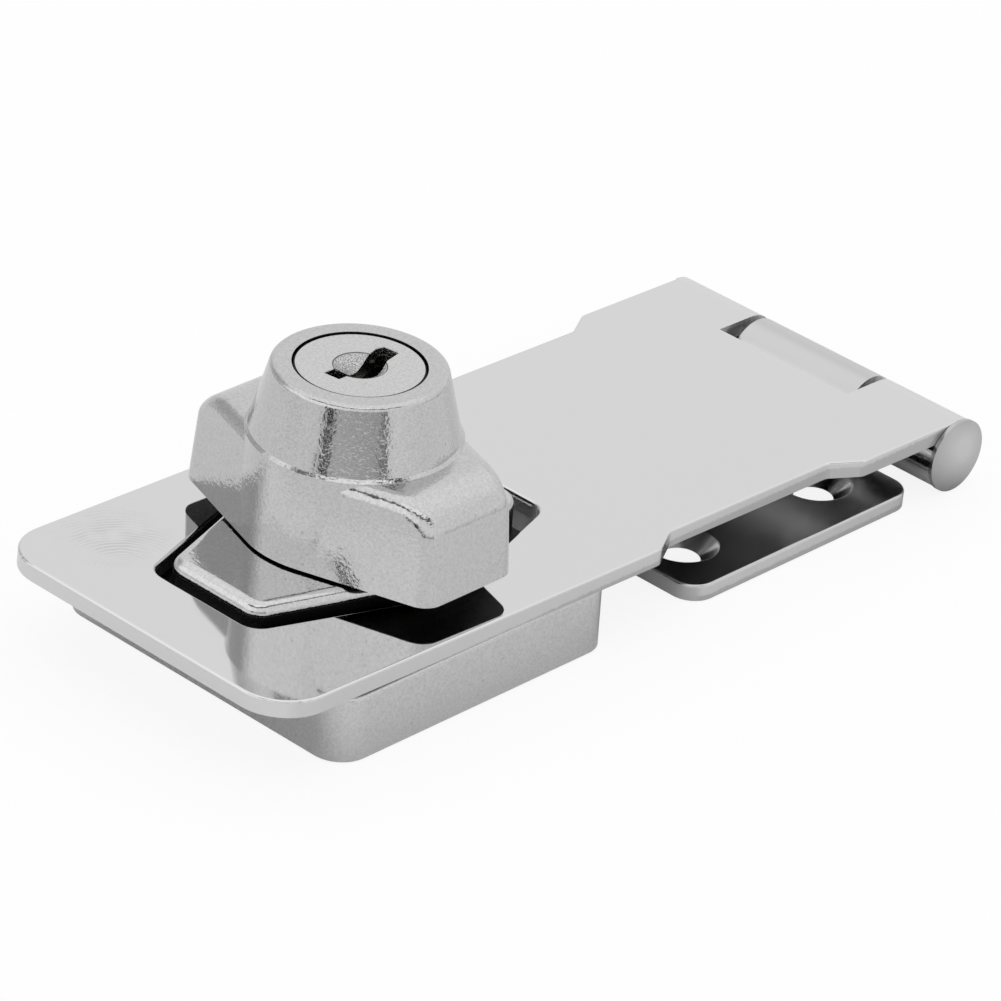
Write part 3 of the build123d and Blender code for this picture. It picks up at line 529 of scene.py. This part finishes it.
# %% Horizon and walls
# Directions are degrees round the lock, counted from the camera's side, which is at HEADING.
# Each stop is such a direction and a linear grey.
HEADING = math.radians(221.1)
HORIZON_STOPS = [(-180, 0.85), (180, 0.85), (-100, 0.55), (-55, 0.78), (-35, 0.72), (-32, 0.03),
                 (-24, 0.03), (-21, 0.5), (31, 0.42), (34, 0.15), (37, 0.15), (41, 0.85),
                 (75, 0.8), (100, 0.6)]
WALL_STOPS = [(-180, 0.86), (180, 0.86), (-155, 0.8), (-140, 0.5), (-112, 0.5), (-92, 1.1),
              (-35, 1.08), (0, 0.9), (60, 0.85), (140, 0.86)]
world = bpy.data.worlds.new("studio")
bpy.context.scene.world = world
world.use_nodes = True
tree = world.node_tree
for node in list(tree.nodes):
    tree.nodes.remove(node)
direction = add_node(tree, "ShaderNodeTexCoord").outputs["Generated"]
turned = add_node(tree, "ShaderNodeVectorRotate", {"rotation_type": "Z_AXIS", "Angle": -HEADING},
                  Vector=direction)
split = add_node(tree, "ShaderNodeSeparateXYZ", Vector=turned.outputs["Vector"])
bearing = add_node(tree, "ShaderNodeMath", {"operation": "ARCTAN2"},
                   i0=split.outputs["Y"], i1=split.outputs["X"])
compass = add_node(tree, "ShaderNodeMapRange", {"From Min": -math.pi, "From Max": math.pi},
                   Value=bearing.outputs[0])
tones = []
for stops in (HORIZON_STOPS, WALL_STOPS):
    ramp = add_node(tree, "ShaderNodeValToRGB", Fac=compass.outputs["Result"])
    # A new ramp has two elements already, and the first two stops take those over.
    for i, (degrees, grey) in enumerate(stops):
        position = degrees / 360 + 0.5
        element = ramp.color_ramp.elements[i] if i < 2 else ramp.color_ramp.elements.new(position)
        element.position = position
        element.color = (grey, grey, grey, 1.0)
    tones.append(ramp.outputs["Color"])
print("stops in the two ramps:", len(HORIZON_STOPS), len(WALL_STOPS))

# %% [markdown]
# ## Ceiling, screen and lamp box
# The two ramps and a white ceiling blend into each other by height. In front hangs a dark screen
# with a bright lamp box over it. Only rounded edges look that way, so every edge of the casting
# gets a dark line with a bright one beside it. The camera itself sees plain white.

# %% Blend by height
# Heights are the sine of the angle over the horizon.
HORIZON_TO_WALLS = (0.05, 0.25)
WALLS_TO_CEILING = (0.55, 0.8)
SCREEN_FOOT = (0.68, 0.72)
BOX_FOOT = (0.8, 0.84)
FRONT_EDGE = (0.1, 0.25)
CEILING_GREY = 1.0
SCREEN_GREY = 0.12
BOX_GREY = 1.15
height = split.outputs["Z"]
front = add_node(tree, "ShaderNodeMapRange", {"From Min": FRONT_EDGE[0], "From Max": FRONT_EDGE[1]},
                 Value=split.outputs["X"])
rises = []
for low, high in (HORIZON_TO_WALLS, WALLS_TO_CEILING):
    rise = add_node(tree, "ShaderNodeMapRange",
                    {"interpolation_type": "SMOOTHSTEP", "From Min": low, "From Max": high},
                    Value=height)
    rises.append(rise.outputs["Result"])
for low, high in (SCREEN_FOOT, BOX_FOOT):
    rise = add_node(tree, "ShaderNodeMapRange", {"From Min": low, "From Max": high}, Value=height)
    in_front = add_node(tree, "ShaderNodeMath", {"operation": "MULTIPLY"},
                        i0=front.outputs["Result"], i1=rise.outputs["Result"])
    rises.append(in_front.outputs[0])
layer = add_node(tree, "ShaderNodeMix", {"data_type": "RGBA"}, i0=rises[0], i6=tones[0], i7=tones[1])
for rise, grey in zip(rises[1:], (CEILING_GREY, SCREEN_GREY, BOX_GREY)):
    layer = add_node(tree, "ShaderNodeMix", {"data_type": "RGBA"}, i0=rise, i6=layer.outputs[2])
    layer.inputs[7].default_value = (grey, grey, grey, 1.0)
room = add_node(tree, "ShaderNodeBackground", {"Strength": 1.0}, Color=layer.outputs[2])
white = add_node(tree, "ShaderNodeBackground", {"Color": (1, 1, 1, 1), "Strength": 1.0})
seen = add_node(tree, "ShaderNodeLightPath").outputs["Is Camera Ray"]
mix = add_node(tree, "ShaderNodeMixShader", i0=seen, i1=room.outputs[0], i2=white.outputs[0])
add_node(tree, "ShaderNodeOutputWorld", Surface=mix.outputs[0])
print("world nodes:", len(tree.nodes))

# %% [markdown]
# ## Camera
# The place, turn and focal length come from fitting the lock's straight edges and the ring
# round the key plug: a long lens about two thirds of a metre away. The view transform is
# Standard, so that a surface as bright as the paper is shown as white as the paper.

# %% Camera
LENS_MM = 214.52
SENSOR_MM = 36.0
CAMERA_PLACE = (-415.54 * MM, -384.46 * MM, 333.87 * MM)
CAMERA_TURN = (60.6475, -4.9184, -46.1287)
camera_data = bpy.data.cameras.new("product_camera")
camera_data.lens = LENS_MM
camera_data.sensor_width = SENSOR_MM
camera = bpy.data.objects.new("product_camera", camera_data)
camera.location = CAMERA_PLACE
camera.rotation_euler = [math.radians(angle) for angle in CAMERA_TURN]
bpy.context.scene.collection.objects.link(camera)
bpy.context.scene.camera = camera
bpy.context.scene.view_settings.view_transform = "Standard"
print("lens in mm:", round(camera_data.lens, 1))
